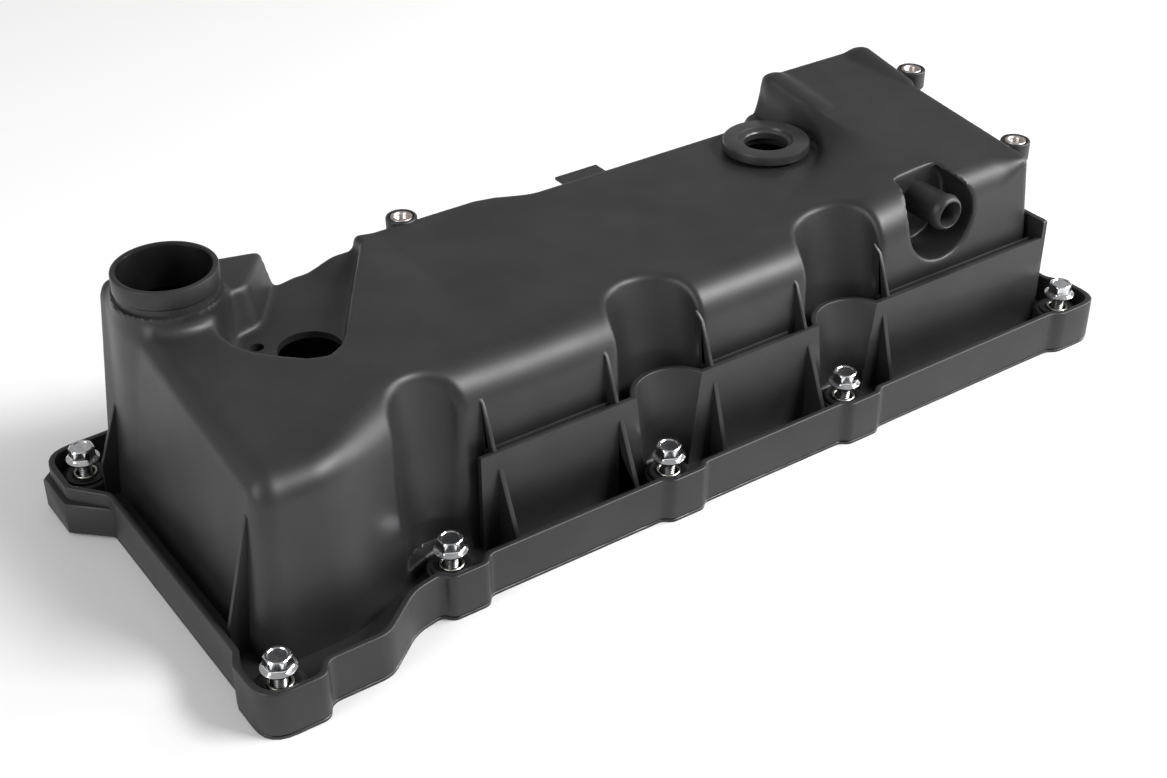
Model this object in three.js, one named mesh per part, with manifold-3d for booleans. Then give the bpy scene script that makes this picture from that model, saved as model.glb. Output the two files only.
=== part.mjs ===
// Valve cover of a four-cylinder engine: a ribbed nylon cover on a bolting rail, with its gasket, oil baffle,
// vent port ring, threaded inserts, harness clip and ten captive flange bolts.
// Millimetres, +Z up. X runs along the engine, -Y is the front side, and z = 0 is the underside of the gasket.

import * as THREE from "three";
import { mergeVertices } from "three/addons/utils/BufferGeometryUtils.js";
import Module from "manifold-3d";

const wasm = await Module();
wasm.setup();

// ---------------------------------------------------------------- driving dimensions

const WALL = 3; // moulded wall of the cover
const GAP = 0.3; // clearance between pieces that touch

const RAIL = { bottom: 1.8, floor: 8, top: 22.2, rim: 2.8, earTop: 16 }; // channel round the foot of the cover
const BOSS = { seat: 14.5, radius: 10.5, bore: 8 }; // bolt bosses in the rail

const BODY = {
  leftFoot: -216,
  rightFoot: 210,
  leftDraft: 0.093, // sideways lean of each wall for every millimetre of height
  rightDraft: 0.03,
  frontDraft: 0.09,
  backDraft: 0.02,
  frontFoot: -81.5,
  frontBulge: -101, // the front wall stands further out at the left end
  backFoot: 52,
  backSetIn: 9, // and the back wall is set in behind the middle
  endRound: 8,
};
const ROOF = { front: 86.5, frontY: -85, leftSlope: 0.144, slope: 0.01 };
const BOX = { back: 106.3, slope: 0.11, backY: 47, hornRise: 4, hornWidth: 12 }; // raised end over the vent

const NECK = { x: -187, y: 25, rim: 116, radius: 21.75, bore: 19 };
const VENT = { x: 117, y: 13.4, face: 93.5, thick: 5, radius: 21, bore: 10.5, pit: 25.5 };
const BREATHER = { x: 153, z: 80, mouth: -77, radius: 8, bore: 6 }; // hose nipple
const POCKET = { x: 150.5, z: 78, back: -52, radius: 20 }; // round recess behind the nipple
const SADDLE = { floor: 77.5, hole: { x: -142, y: -7, radius: 13.5 }, pin: { x: -159.6, y: 6.2, radius: 3 } };

const SHIELD = { y: -85.5, thick: 2.5, top: 54, left: -109.5, right: 212, endTop: 62.7, endBack: -40 };
const LOWER_WELL = { foot: 10.5, top: 14.5 }; // radius at the boss and at the top of the shield
const SCOOP = { start: 40, end: 92 }; // heights between which the wells in the front wall lean
const SCOOPED = [
  { bolt: "front_2", beside: 0, foot: 17, top: 17, lean: [2.9, 16] },
  { bolt: "front_3", beside: 1.8, foot: 19, top: 21.5, lean: [4.5, 22.5] },
  { bolt: "front_4", beside: 3.2, foot: 19, top: 21.5, lean: [4, 21.5] },
];
const GUSSETS = [-100.5, -40.5, 9.5, 63, 108]; // along the shield
const GUSSET = { thick: 2, top: 47, foot: -101, footTop: 20 };

const BOLTS = [
  { name: "front_1", x: -217.3, y: -115.8 },
  { name: "front_2", x: -129.5, y: -93 },
  { name: "front_3", x: -19.9, y: -92 },
  { name: "front_4", x: 80.7, y: -91.6 },
  { name: "front_5", x: 220.5, y: -92.6 },
  { name: "back_5", x: 220.5, y: 52 },
  { name: "back_4", x: 80.7, y: 62 },
  { name: "back_3", x: -19.9, y: 62 },
  { name: "back_2", x: -129.5, y: 62 },
  { name: "back_1", x: -225.7, y: 50.3 },
];
const SHIELDED = [BOLTS[2], BOLTS[3]];
const BACK_WELLS = [BOLTS[6], BOLTS[7], BOLTS[8]];

const BOLT = {
  shank: 3,
  undercut: 2.45,
  ringFrom: 6,
  ringTo: 9,
  tip: 0.6,
  washer: 22.5, // underside of the flange while the loose bolt stands on its tip
  washerRadius: 7.1,
  washerThick: 1.5,
  acrossFlats: 10,
  head: 29,
};
const RING = { inner: 2.75, outer: 3.7, height: 2.4 };
const SLEEVE = { inner: 4, outer: 5.2, top: 16.2 }; // stops the flange just above the grommet's lip
const GROMMET = { inner: 5.5, outer: 7.7, lip: 9, lipThick: 1.2 };

const GASKET = { top: 1.5, setIn: 0.2, width: 5.2 };
const BAFFLE = { z: 60, thick: 2.5, left: -118, right: 195, front: -45, back: 32 };
const STAKES = [-100, -50, 0, 50, 100, 165]; // pins that hold the baffle
const STAKE = { y: -25, radius: 3, hole: 3.4, shoulder: 5 };

const INSERTS = [
  { name: "insert_back", x: -62.9, y: 53.7, z: 88.5 },
  { name: "insert_end_back", x: 218.5, y: 20.7, z: 102 },
  { name: "insert_end_front", x: 217, y: -54.5, z: 92 },
];
const INSERT = { outer: 5.4, bore: 3, length: 12, post: 7.2, postFoot: 5, step: 9 };

const CLIP = { x: 34, y: 43.2, z: 83, thick: 1.6 };

const SMALL = 12; // sides of small round pieces
const ROUND = 24; // sides of large ones

// ---------------------------------------------------------------- geometry helpers

function solid(geometry) {
  const plain = new THREE.BufferGeometry();
  plain.setAttribute("position", geometry.getAttribute("position"));
  plain.setIndex(geometry.index);
  const merged = mergeVertices(plain, 1e-4);
  return new wasm.Manifold(
    new wasm.Mesh({
      numProp: 3,
      vertProperties: merged.attributes.position.array,
      triVerts: new Uint32Array(merged.index.array),
    }),
  );
}

function geometryOf(manifold) {
  const mesh = manifold.getMesh();
  const geometry = new THREE.BufferGeometry();
  geometry.setAttribute("position", new THREE.BufferAttribute(mesh.vertProperties, 3));
  geometry.setIndex(new THREE.BufferAttribute(mesh.triVerts, 1));
  return geometry;
}

const join = (pieces) => pieces.reduce((whole, piece) => whole.add(piece));

function cut(manifold, tools) {
  return tools.reduce((rest, tool) => rest.subtract(tool), manifold);
}

function prism(points, from, to) {
  const geometry = new THREE.ExtrudeGeometry(new THREE.Shape(points), { depth: to - from, bevelEnabled: false });
  return solid(geometry.translate(0, 0, from));
}

function box(x, y, z) {
  const geometry = new THREE.BoxGeometry(x[1] - x[0], y[1] - y[0], z[1] - z[0]);
  return solid(geometry.translate((x[0] + x[1]) / 2, (y[0] + y[1]) / 2, (z[0] + z[1]) / 2));
}

// An upright cone or cylinder; its top can stand off from above its foot by `lean`.
function cone(x, y, from, to, footRadius, topRadius = footRadius, sides = ROUND, lean = [0, 0]) {
  const rings = [from, to].map((z, i) => {
    const radius = [footRadius, topRadius][i];
    return Array.from({ length: sides }, (_, k) => {
      const turn = (2 * Math.PI * k) / sides;
      const [alongX, alongY] = [x + i * lean[0], y + i * lean[1]];
      return new THREE.Vector3(alongX + radius * Math.cos(turn), alongY + radius * Math.sin(turn), z);
    });
  });
  return loft(rings);
}

// A closed body through loops that all have the same number of points and run anticlockwise, seen from its far end.
function loft(loops) {
  const count = loops[0].length;
  const positions = loops.flat().flatMap((p) => [p.x, p.y, p.z]);
  const index = [];
  for (let i = 0; i + 1 < loops.length; i++) {
    for (let k = 0; k < count; k++) {
      const a = i * count + k;
      const b = i * count + ((k + 1) % count);
      index.push(a, b, b + count, a, b + count, a + count);
    }
  }
  const last = (loops.length - 1) * count;
  for (const [a, b, c] of capTriangles(loops[0])) index.push(c, b, a);
  for (const [a, b, c] of capTriangles(loops[loops.length - 1])) index.push(last + a, last + b, last + c);
  const geometry = new THREE.BufferGeometry();
  geometry.setAttribute("position", new THREE.Float32BufferAttribute(positions, 3));
  geometry.setIndex(index);
  return solid(geometry);
}

// Triangles of a loop, which is seen along the axis that it varies least in.
function capTriangles(loop) {
  const size = new THREE.Box3().setFromPoints(loop).getSize(new THREE.Vector3());
  const least = Math.min(size.x, size.y, size.z);
  const flat = (p) => {
    if (size.x === least) return new THREE.Vector2(p.y, p.z);
    return size.y === least ? new THREE.Vector2(p.x, p.z) : new THREE.Vector2(p.x, p.y);
  };
  return THREE.ShapeUtils.triangulateShape(loop.map(flat), []);
}

function turned(profile, sides = SMALL) {
  const points = profile.map(([radius, z]) => new THREE.Vector2(radius, z));
  return solid(new THREE.LatheGeometry(points, sides).rotateX(Math.PI / 2));
}

const tube = (inner, outer, from, to, sides = SMALL) =>
  turned([[inner, from], [outer, from], [outer, to], [inner, to], [inner, from]], sides);

const lerp = THREE.MathUtils.lerp;
const step = THREE.MathUtils.smoothstep;

// ---------------------------------------------------------------- outline of the rail

// A polygon whose corners are rounded; each corner is [x, y, radius].
function roundedOutline(corners) {
  const points = [];
  corners.forEach(([x, y, radius], i) => {
    const corner = new THREE.Vector2(x, y);
    const before = new THREE.Vector2(...corners.at(i - 1).slice(0, 2)).sub(corner);
    const after = new THREE.Vector2(...corners[(i + 1) % corners.length].slice(0, 2)).sub(corner);
    const reach = 0.49 * Math.min(before.length(), after.length());
    const half = Math.acos(THREE.MathUtils.clamp(before.normalize().dot(after.normalize()), -1, 1)) / 2;
    const length = Math.min(radius / Math.tan(half), reach);
    const curve = new THREE.QuadraticBezierCurve(
      corner.clone().addScaledVector(before, length),
      corner,
      corner.clone().addScaledVector(after, length),
    );
    points.push(...curve.getPoints(radius > 8 ? 4 : 2));
  });
  return points;
}

// The same corners moved inwards; the polygon runs anticlockwise. Outer corners tighten and inner ones open.
function inset(corners, distance) {
  return corners.map(([x, y, radius], i) => {
    const corner = new THREE.Vector2(x, y);
    const before = corner.clone().sub(new THREE.Vector2(...corners.at(i - 1).slice(0, 2))).normalize();
    const after = new THREE.Vector2(...corners[(i + 1) % corners.length].slice(0, 2)).sub(corner).normalize();
    const inward = new THREE.Vector2(-before.y - after.y, before.x + after.x).normalize();
    corner.addScaledVector(inward, distance / inward.dot(new THREE.Vector2(-after.y, after.x)));
    const turn = Math.sign(before.cross(after));
    return [corner.x, corner.y, Math.max(radius - turn * distance, 0.5)];
  });
}

// The rail bulges out round a bolt: four corners that leave the straight edge and come back to it.
function bulge(x, edge, out, direction) {
  return [
    [x - 11.5 * direction, edge, 5],
    [x - 8.5 * direction, out, 9],
    [x + 8.5 * direction, out, 9],
    [x + 11.5 * direction, edge, 5],
  ];
}

const FRONT_EDGE = -104;
const BACK_EDGE = 66;
const EDGE = { left: -227.3, ear: -242.5, right: 229.5, rightBoss: 234.5, frontLeft: -122.4, back: 76 };

const railCorners = [
  [-230.8, -129.3, 13.4],
  [-203.8, -129.3, 12],
  [-200.5, EDGE.frontLeft, 6],
  [-174, EDGE.frontLeft, 14],
  [-154, -106.5, 22],
  ...bulge(BOLTS[1].x, FRONT_EDGE, -108.6, 1),
  ...bulge(BOLTS[2].x, FRONT_EDGE, -107.2, 1),
  ...bulge(BOLTS[3].x, FRONT_EDGE, -107, 1),
  [204, -103.5, 6],
  [209, -106.6, 9],
  [EDGE.rightBoss, -106.6, 14],
  [EDGE.rightBoss, -84, 9],
  [EDGE.right, -76, 6],
  [EDGE.right, 36, 6],
  [EDGE.rightBoss, 44, 9],
  [EDGE.rightBoss, BACK_EDGE, 14],
  ...bulge(BOLTS[6].x, BACK_EDGE, EDGE.back, -1),
  ...bulge(BOLTS[7].x, BACK_EDGE, EDGE.back, -1),
  ...bulge(BOLTS[8].x, BACK_EDGE, EDGE.back, -1),
  [-205, BACK_EDGE, 12],
  [-239.7, 64.3, 14],
  [-239.7, 35, 6],
  [EDGE.left, 20, 6],
  [EDGE.left, -97, 6],
  [-230.8, -104, 6],
];
const railOutline = (distance) => roundedOutline(inset(railCorners, distance));

// The ear under the back left bolt stands out below its boss.
const earOutline = [
  [-236, 62],
  [EDGE.ear, 56],
  [EDGE.ear, 32],
  [EDGE.left, 17.6],
  [-222, 17.6],
  [-222, 62],
].map(([x, y]) => new THREE.Vector2(x, y));

// ---------------------------------------------------------------- body surface

const bulged = (x) => 1 - step(x, -185, -125);
const setIn = (x) => step(x, -27, 3) * (1 - step(x, 122, 138));
const frontWall = (x, z) => lerp(BODY.frontFoot, BODY.frontBulge, bulged(x)) + BODY.frontDraft * (z - RAIL.floor);
const backWall = (x, z) => BODY.backFoot - BODY.backSetIn * setIn(x) - BODY.backDraft * (z - RAIL.floor);
const shoulderRadius = (x) => lerp(lerp(18, 10, bulged(x)), 11, step(x, 120, 180));
const backRadius = 4;

// Height of the roof before wells and pockets are cut: nearly level, rising to the neck at the back left
// corner and, over a ramp, to the raised end at the right.
function roofHeight(x, y) {
  const rise = THREE.MathUtils.clamp((-80 - x) / 125, 0, 1);
  const level = ROOF.front + (ROOF.slope + (ROOF.leftSlope - ROOF.slope) * rise) * (y - ROOF.frontY);
  const raised = BOX.back - BOX.slope * (BOX.backY - y);
  const forward = step(-y, -5, 60);
  return lerp(level, raised, step(x, lerp(137.5, 55, forward), lerp(145, 165, forward)));
}

// Loop of the body at x, offset inwards by `thick`, from the front foot over the roof to the back foot.
function section(x, thick, foot, drop = 0, narrow = 0) {
  const radius = shoulderRadius(x) - Math.min(thick, 4);
  const top = roofHeight(x, -60) - thick - drop;
  const front = frontWall(x, top - radius) + thick + narrow;
  const back = backWall(x, 90) - thick - narrow;
  const backTop = roofHeight(x, back) - thick - drop;
  const loop = [[frontWall(x, foot) + thick + narrow, foot]];
  for (let turn = 0; turn <= 90; turn += 22.5) {
    const angle = THREE.MathUtils.degToRad(turn);
    const y = front + radius * (1 - Math.cos(angle));
    const level = roofHeight(x, front + radius) - thick - drop;
    loop.push([y, level - radius * (1 - Math.sin(angle))]);
  }
  const from = front + radius;
  const to = back - backRadius;
  for (const share of [0.2, 0.4, 0.6, 0.8]) {
    const y = lerp(from, to, share);
    loop.push([y, roofHeight(x, y) - thick - drop]);
  }
  loop.push([to, backTop], [back - 0.3 * backRadius, backTop - 0.3 * backRadius], [back, backTop - backRadius]);
  loop.push([backWall(x, foot) - thick - narrow, foot]);
  return loop.reverse();
}

// The body as a solid: stations along X, with the two ends leaning and rounded.
function body(thick, foot) {
  const left = (z) => BODY.leftFoot + BODY.leftDraft * (z - RAIL.floor) + thick;
  const right = (z) => BODY.rightFoot - BODY.rightDraft * (z - RAIL.floor) - thick;
  const round = BODY.endRound - Math.min(thick, 4);
  const middle = [-190, -182, -174, -165, -155, -145, -135, -125, -102, -80, -27, -12, 3, 55, 75, 95, 110, 122];
  const end = [130, 137, 141, 145, 155, 165, 180];
  const loops = [
    section(left(60), thick, foot, round, round).map(([y, z]) => [left(z), y, z]),
    section(left(60), thick, foot, 0.3 * round, 0.3 * round).map(([y, z]) => [left(z) + 0.3 * round, y, z]),
    section(left(60) + round, thick, foot).map(([y, z]) => [left(z) + round, y, z]),
    ...[...middle, ...end].map((x) => section(x, thick, foot).map(([y, z]) => [x, y, z])),
    section(right(60) - 4, thick, foot).map(([y, z]) => [right(z) - 4, y, z]),
    section(right(60), thick, foot, 3, 3).map(([y, z]) => [right(z), y, z]),
  ];
  return loft(loops.map((loop) => loop.map(([x, y, z]) => new THREE.Vector3(x, y, z))));
}

// ---------------------------------------------------------------- wells, pockets and holes in the body

// Room for the socket at each bolt. `thick` grows the tool, for the far side of the wall.
function wells(thick) {
  const scoops = SCOOPED.flatMap(({ bolt, beside, foot, top, lean }) => {
    const { x, y } = BOLTS.find(({ name }) => name === bolt);
    return [
      cone(x + beside, y, BOSS.seat - thick, SCOOP.start, foot + thick),
      cone(x + beside, y, SCOOP.start, SCOOP.end, foot + thick, top + thick, ROUND, lean),
    ];
  });
  const corner = cone(BOLTS[0].x, BOLTS[0].y, RAIL.floor - thick, 110, 13 + thick, 18 + thick);
  const back = BACK_WELLS.map(({ x, y }) => cone(x, y, RAIL.floor - thick, 110, 13 + thick, 13 + thick));
  return [...scoops, corner, ...back];
}

// The saddle beside the neck is open at the back and widens towards it.
function saddle(thick) {
  const outline = [
    [-172, 4],
    [-175.5, -4],
    [-173, -14],
    [-164, -24],
    [-154, -31],
    [-146, -32.5],
    [-139, -28.5],
    [-134, -21.5],
    [-90.5, 44],
    [-90.5, 70],
    [-131, 70],
    [-131, 52],
    [-153.5, 18.5],
    [-166, 15],
  ].map(([x, y]) => [x, y, 1]);
  const grown = inset(outline, -thick).map(([x, y]) => new THREE.Vector2(x, y));
  return prism(grown, SADDLE.floor - thick, 120);
}

function breatherPocket(thick) {
  const radius = POCKET.radius + thick;
  const pocket = new THREE.CylinderGeometry(radius, radius, 60, ROUND);
  return solid(pocket.translate(POCKET.x, POCKET.back + thick - 30, POCKET.z));
}

function breatherTube(radius, from, to) {
  const length = to - from;
  const geometry = new THREE.CylinderGeometry(radius, radius, length, SMALL + 4);
  return solid(geometry.translate(BREATHER.x, from + length / 2, BREATHER.z));
}

// ---------------------------------------------------------------- cover shell

function rail() {
  const hollow = prism(railOutline(RAIL.rim), RAIL.floor, RAIL.top + 1);
  const outer = join([prism(railOutline(0), RAIL.bottom, RAIL.top), prism(earOutline, RAIL.bottom, RAIL.earTop)]);
  const bosses = BOLTS.map(({ x, y }) => cone(x, y, RAIL.bottom, BOSS.seat, BOSS.radius));
  return join([outer.subtract(hollow), ...bosses]);
}

// Thin wall in front of the body, which dips back round the two middle bolts.
function shield() {
  const { y, thick, top, left, right } = SHIELD;
  const wall = box([left, right], [y, y + thick], [RAIL.floor, top]);
  const cups = SHIELDED.map((bolt) =>
    cone(bolt.x, bolt.y, RAIL.floor, top, LOWER_WELL.foot + thick, LOWER_WELL.top + thick),
  );
  const behind = box([left, right], [y, 0], [0, top + 1]);
  const hollows = SHIELDED.map((bolt) => cone(bolt.x, bolt.y, BOSS.seat, top + 1, LOWER_WELL.foot, LOWER_WELL.top));
  const ribs = GUSSETS.map(gusset);
  const end = box([right - thick, right], [y, SHIELD.endBack], [RAIL.floor, SHIELD.endTop]);
  return [...cups.map((cup) => cup.intersect(behind)), wall, end, ...ribs]
    .reduce((whole, piece) => whole.add(piece))
    .subtract(join(hollows));
}

function gusset(x) {
  const { thick, top, foot, footTop } = GUSSET;
  const outline = [
    [SHIELD.y + 1, RAIL.floor - 1],
    [SHIELD.y + 1, top],
    [SHIELD.y, top],
    [foot, footTop],
    [foot - 1, RAIL.floor - 1],
  ];
  const loops = [x - thick / 2, x + thick / 2].map((at) => outline.map(([y, z]) => new THREE.Vector3(at, y, z)));
  return loft(loops);
}

function neck() {
  return cone(NECK.x, NECK.y, 84, NECK.rim, NECK.radius, NECK.radius, ROUND);
}

function insertPosts() {
  return INSERTS.flatMap(({ x, y, z }) => [
    cone(x, y, z - INSERT.step, z, INSERT.post, INSERT.post, SMALL + 4),
    cone(x, y, RAIL.floor - 1, z - INSERT.step + 1, INSERT.postFoot + 1, INSERT.postFoot + 1, SMALL),
    box([x - 1.2, x + 1.2], y > 40 ? [40, y] : [y - 1.2, y + 1.2], [RAIL.floor, z - INSERT.step]),
    ...(y > 40 ? [] : [box([200, x], [y - 1.2, y + 1.2], [RAIL.floor, z - INSERT.step])]),
  ]);
}

function horns() {
  const { back, hornRise, hornWidth, backY } = BOX;
  return [147, 204].map((x) => {
    const from = new THREE.Vector3(x, backY - 5, back - 1);
    return [0, 30].map((run) => {
      const z = from.z - BOX.slope * run;
      const rise = hornRise * (1 - run / 30);
      return Array.from({ length: 9 }, (_, k) => {
        const turn = (Math.PI * k) / 8;
        const half = (hornWidth / 2) * (1 - run / 60);
        return new THREE.Vector3(x + half * Math.cos(turn), from.y - run, z + (rise + 1) * Math.sin(turn) - 2);
      });
    });
  }).map((loops) => loft(loops));
}

function bores() {
  const boltBores = BOLTS.map(({ x, y }) => cone(x, y, 0, RAIL.earTop, BOSS.bore, BOSS.bore, SMALL));
  const insertBores = INSERTS.map(({ x, y, z }) =>
    cone(x, y, z - INSERT.length - 1, z + 1, INSERT.outer + GAP, INSERT.outer + GAP, SMALL),
  );
  const { hole, pin } = SADDLE;
  return [
    ...boltBores,
    ...insertBores,
    cone(NECK.x, NECK.y, 60, NECK.rim + 1, NECK.bore, NECK.bore, ROUND),
    cone(VENT.x, VENT.y, 70, 100, VENT.bore + 2, VENT.bore + 2, ROUND),
    cone(hole.x, hole.y, 60, 90, hole.radius, hole.radius, ROUND),
    cone(pin.x, pin.y, 60, 100, pin.radius, pin.radius, SMALL),
    breatherTube(BREATHER.bore, BREATHER.mouth - 1, POCKET.back + 8),
  ];
}

function ventPit() {
  return cone(VENT.x, VENT.y, VENT.face - VENT.thick - GAP, 130, VENT.pit, VENT.pit + 3, ROUND);
}

function coverShell() {
  const outside = join([body(0, RAIL.floor - 1), neck(), ...horns()]);
  const carved = cut(outside, [...wells(0), saddle(0), breatherPocket(0), ventPit()]);
  const inside = cut(body(WALL, 0), [
    ...wells(WALL),
    saddle(WALL),
    breatherPocket(WALL),
    cone(VENT.x, VENT.y, VENT.face - VENT.thick - GAP - WALL, 130, VENT.pit + WALL, VENT.pit + 6, ROUND),
  ]);
  const { y, radius, shoulder } = STAKE;
  const pins = STAKES.flatMap((x) => [
    cone(x, y, BAFFLE.z - 3, NECK.rim, radius, radius, 8),
    cone(x, y, BAFFLE.z + BAFFLE.thick + GAP, NECK.rim, shoulder, shoulder, 8),
  ]);
  const tubeWall = breatherTube(BREATHER.radius, BREATHER.mouth, POCKET.back + 4);
  const outer = join([carved, rail(), shield(), ...insertPosts()]);
  const inner = pins.map((pin) => pin.intersect(carved));
  return cut(join([cut(outer, [inside]), ...inner, tubeWall]), bores());
}

// ---------------------------------------------------------------- separate pieces

function gasket() {
  const { top, setIn: margin, width } = GASKET;
  return prism(railOutline(margin), 0, top).subtract(prism(railOutline(margin + width), -1, top + 1));
}

function bafflePlate() {
  const { z, thick, left, right, front, back } = BAFFLE;
  const plate = box([left, right], [front, back], [z, z + thick]);
  const lips = [left, right - thick].map((x) => box([x, x + thick], [front, back], [z - 8, z + 1]));
  const holes = STAKES.map((at) => cone(at, STAKE.y, z - 10, z + 10, STAKE.hole, STAKE.hole, 8));
  return cut(join([plate, ...lips]), holes);
}

function ventRing() {
  const { face, thick, radius, bore } = VENT;
  return turned(
    [
      [bore, face - thick],
      [radius, face - thick],
      [radius, face - 0.6],
      [radius - 0.6, face],
      [bore + 1.6, face],
      [bore, face - 1.6],
      [bore, face - thick],
    ],
    ROUND,
  );
}

function threadedInsert() {
  return tube(INSERT.bore, INSERT.outer, -INSERT.length, 0);
}

// Two flat fingers on a foot, for the wiring harness along the back.
function harnessClip() {
  const { x, y, z, thick } = CLIP;
  const foot = box([x - 2, x + 10], [y - 1, y + 1.5], [z - 14, z + thick]);
  const upper = box([x - 14, x + 10], [y - 1, y + 9], [z, z + thick]);
  const lower = box([x - 14, x + 2], [y - 1, y + 9], [z - 6 - thick, z - 6]);
  return join([foot, upper, lower]);
}

function captiveBolt() {
  const { shank, undercut, ringFrom, ringTo, tip, washer, washerRadius, washerThick, acrossFlats, head } = BOLT;
  const stem = turned([
    [0, tip],
    [shank - 0.7, tip],
    [shank, tip + 1],
    [shank, ringFrom],
    [undercut, ringFrom],
    [undercut, ringTo],
    [shank, ringTo],
    [shank, washer],
    [washerRadius, washer],
    [washerRadius, washer + 0.6],
    [acrossFlats / 2, washer + washerThick],
    [0, washer + washerThick],
  ]);
  const hexagon = new THREE.CylinderGeometry(acrossFlats / Math.sqrt(3), acrossFlats / Math.sqrt(3), 6, 6);
  const low = washer + 0.5;
  hexagon.scale(1, (head - low) / 6, 1).rotateX(Math.PI / 2);
  return stem.add(solid(hexagon.translate(0, 0, (head + low) / 2)));
}

function shankRing() {
  return tube(RING.inner, RING.outer, BOLT.ringFrom + GAP, BOLT.ringFrom + GAP + RING.height, 10);
}

function sleeve() {
  return tube(SLEEVE.inner, SLEEVE.outer, GAP, SLEEVE.top);
}

function grommet() {
  const { inner, outer, lip, lipThick } = GROMMET;
  const seat = BOSS.seat + GAP;
  return turned([
    [inner, 2],
    [outer, 2],
    [outer, seat],
    [lip, seat],
    [lip, seat + lipThick],
    [inner, seat + lipThick],
    [inner, 2],
  ]);
}

// ---------------------------------------------------------------- materials

const finish = (color, roughness, metalness) => () =>
  new THREE.MeshStandardMaterial({ color, roughness, metalness });
const nylon = finish(0x2e2e30, 0.55, 0);
const glossNylon = finish(0x3a3a3c, 0.3, 0);
const rubber = finish(0x141414, 0.8, 0);
const zinc = finish(0xd6d8da, 0.25, 1);
const steel = finish(0xb4aaa6, 0.4, 1);

// ---------------------------------------------------------------- assembly

const cover = new THREE.Group();

function place(name, manifold, material, x = 0, y = 0, z = 0) {
  const mesh = new THREE.Mesh(geometryOf(manifold), material());
  mesh.name = name;
  mesh.position.set(x, y, z);
  cover.add(mesh);
}

place("cover_shell", coverShell(), nylon);
place("rail_gasket", gasket(), rubber);
place("oil_baffle", bafflePlate(), nylon);
place("vent_port_ring", ventRing(), glossNylon, VENT.x, VENT.y);
place("harness_clip", harnessClip(), nylon);
for (const { name, x, y, z } of INSERTS) place(name, threadedInsert(), steel, x, y, z);

const bolt = captiveBolt();
for (const { name, x, y } of BOLTS) {
  place("bolt_" + name, bolt, zinc, x, y);
  place("ring_" + name, shankRing(), rubber, x, y);
  place("sleeve_" + name, sleeve(), steel, x, y);
  place("grommet_" + name, grommet(), rubber, x, y);
}

// The origin is under the middle of the rail's footprint.
const footprint = new THREE.Box2().setFromPoints([...railOutline(0), ...earOutline]);
const middle = footprint.getCenter(new THREE.Vector2());
cover.position.set(-middle.x, -middle.y, 0);

export default cover;
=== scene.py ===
# Looks of an engine valve cover: a black nylon moulding with an oil filler neck, a vent port, a hose nipple,
# socket wells, a bolting rail and captive bolts. Shapes are in millimetres, in the cover's drawing frame, and
# to_metres() turns them into the model's frame; camera, lights, floor and materials are in metres.
import math

import bpy
import numpy as np
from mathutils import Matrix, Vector


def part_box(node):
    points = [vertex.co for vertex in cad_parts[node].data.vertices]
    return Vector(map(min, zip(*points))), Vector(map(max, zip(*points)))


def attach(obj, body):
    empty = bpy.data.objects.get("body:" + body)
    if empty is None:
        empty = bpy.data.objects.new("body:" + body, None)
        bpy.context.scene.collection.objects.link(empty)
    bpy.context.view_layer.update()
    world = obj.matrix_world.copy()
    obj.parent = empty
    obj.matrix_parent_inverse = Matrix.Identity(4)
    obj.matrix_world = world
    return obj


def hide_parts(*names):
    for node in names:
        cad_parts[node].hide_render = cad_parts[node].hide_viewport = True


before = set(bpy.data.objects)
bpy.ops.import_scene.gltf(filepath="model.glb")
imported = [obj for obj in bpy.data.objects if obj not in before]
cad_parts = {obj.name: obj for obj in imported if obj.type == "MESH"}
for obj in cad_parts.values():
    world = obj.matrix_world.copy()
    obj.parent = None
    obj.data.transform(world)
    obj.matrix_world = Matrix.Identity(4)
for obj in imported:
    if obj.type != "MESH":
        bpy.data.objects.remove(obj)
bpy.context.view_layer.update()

# ---------------------------------------------------------------- places taken from the frame

BOLT_NAMES = [name[len("bolt_"):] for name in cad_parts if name.startswith("bolt_")]
INSERTS = ["insert_back", "insert_end_back", "insert_end_front"]


def centre(node):
    low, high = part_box(node)
    return (np.array(low) + np.array(high)) / 2


# The drawing frame has bolt front_3 at this place; everything else follows from it.
SHIFT = centre("sleeve_front_3") * 1000 - np.array([-19.9, -92.0, 0])
SHIFT[2] = 0


def in_drawing(node):
    return centre(node) * 1000 - SHIFT


def top_of(node):
    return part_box(node)[1][2] * 1000


def bottom_of(node):
    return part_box(node)[0][2] * 1000


def to_metres(points):
    return (np.asarray(points, float) + SHIFT) / 1000


BOLT_AT = {name: in_drawing("sleeve_" + name)[:2] for name in BOLT_NAMES}

# ---------------------------------------------------------------- driving dimensions, millimetres

WALL = 3.0
FINE = 1.3  # spacing of the grid that the moulded body is made on

RAIL_BOTTOM, RAIL_FLOOR, RAIL_TOP, RIM = 1.8, 8.0, 22.2, 2.8
BOSS_SEAT, BOSS_RADIUS, BOSS_BORE = 14.5, 10.5, 8.0

LEFT_FOOT, RIGHT_FOOT, FRONT_FOOT, FRONT_BULGE, BACK_FOOT = -216.0, 210.0, -81.5, -101.0, 52.0
LEFT_DRAFT, RIGHT_DRAFT, FRONT_DRAFT, BACK_DRAFT = 0.093, 0.03, 0.09, 0.02
BACK_SET_IN = 9.0
BULGE_RANGE = (-185, -125)  # along X, where the bulge of the front wall fades out
SET_IN_LEFT, SET_IN_RIGHT = (-27, 3), (122, 138)  # where the back wall moves in and out again
LEFT_CORNER, RIGHT_CORNER, BACK_CORNER = 9, 5, 4

# Rounding of the roof's edge, and where along X or Y it changes from one radius to the next.
SHOULDER, BULGE_SHOULDER, BACK_EDGE, NECK_EDGE, END_EDGE = 18, 11, 3.5, 9, 3.5
TO_RIGHT_SHOULDER, TO_BACK_EDGE, TO_NECK_EDGE, TO_END_EDGE = (120, 180), (-40, 20), (-196, -212), (188, 204)

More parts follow.
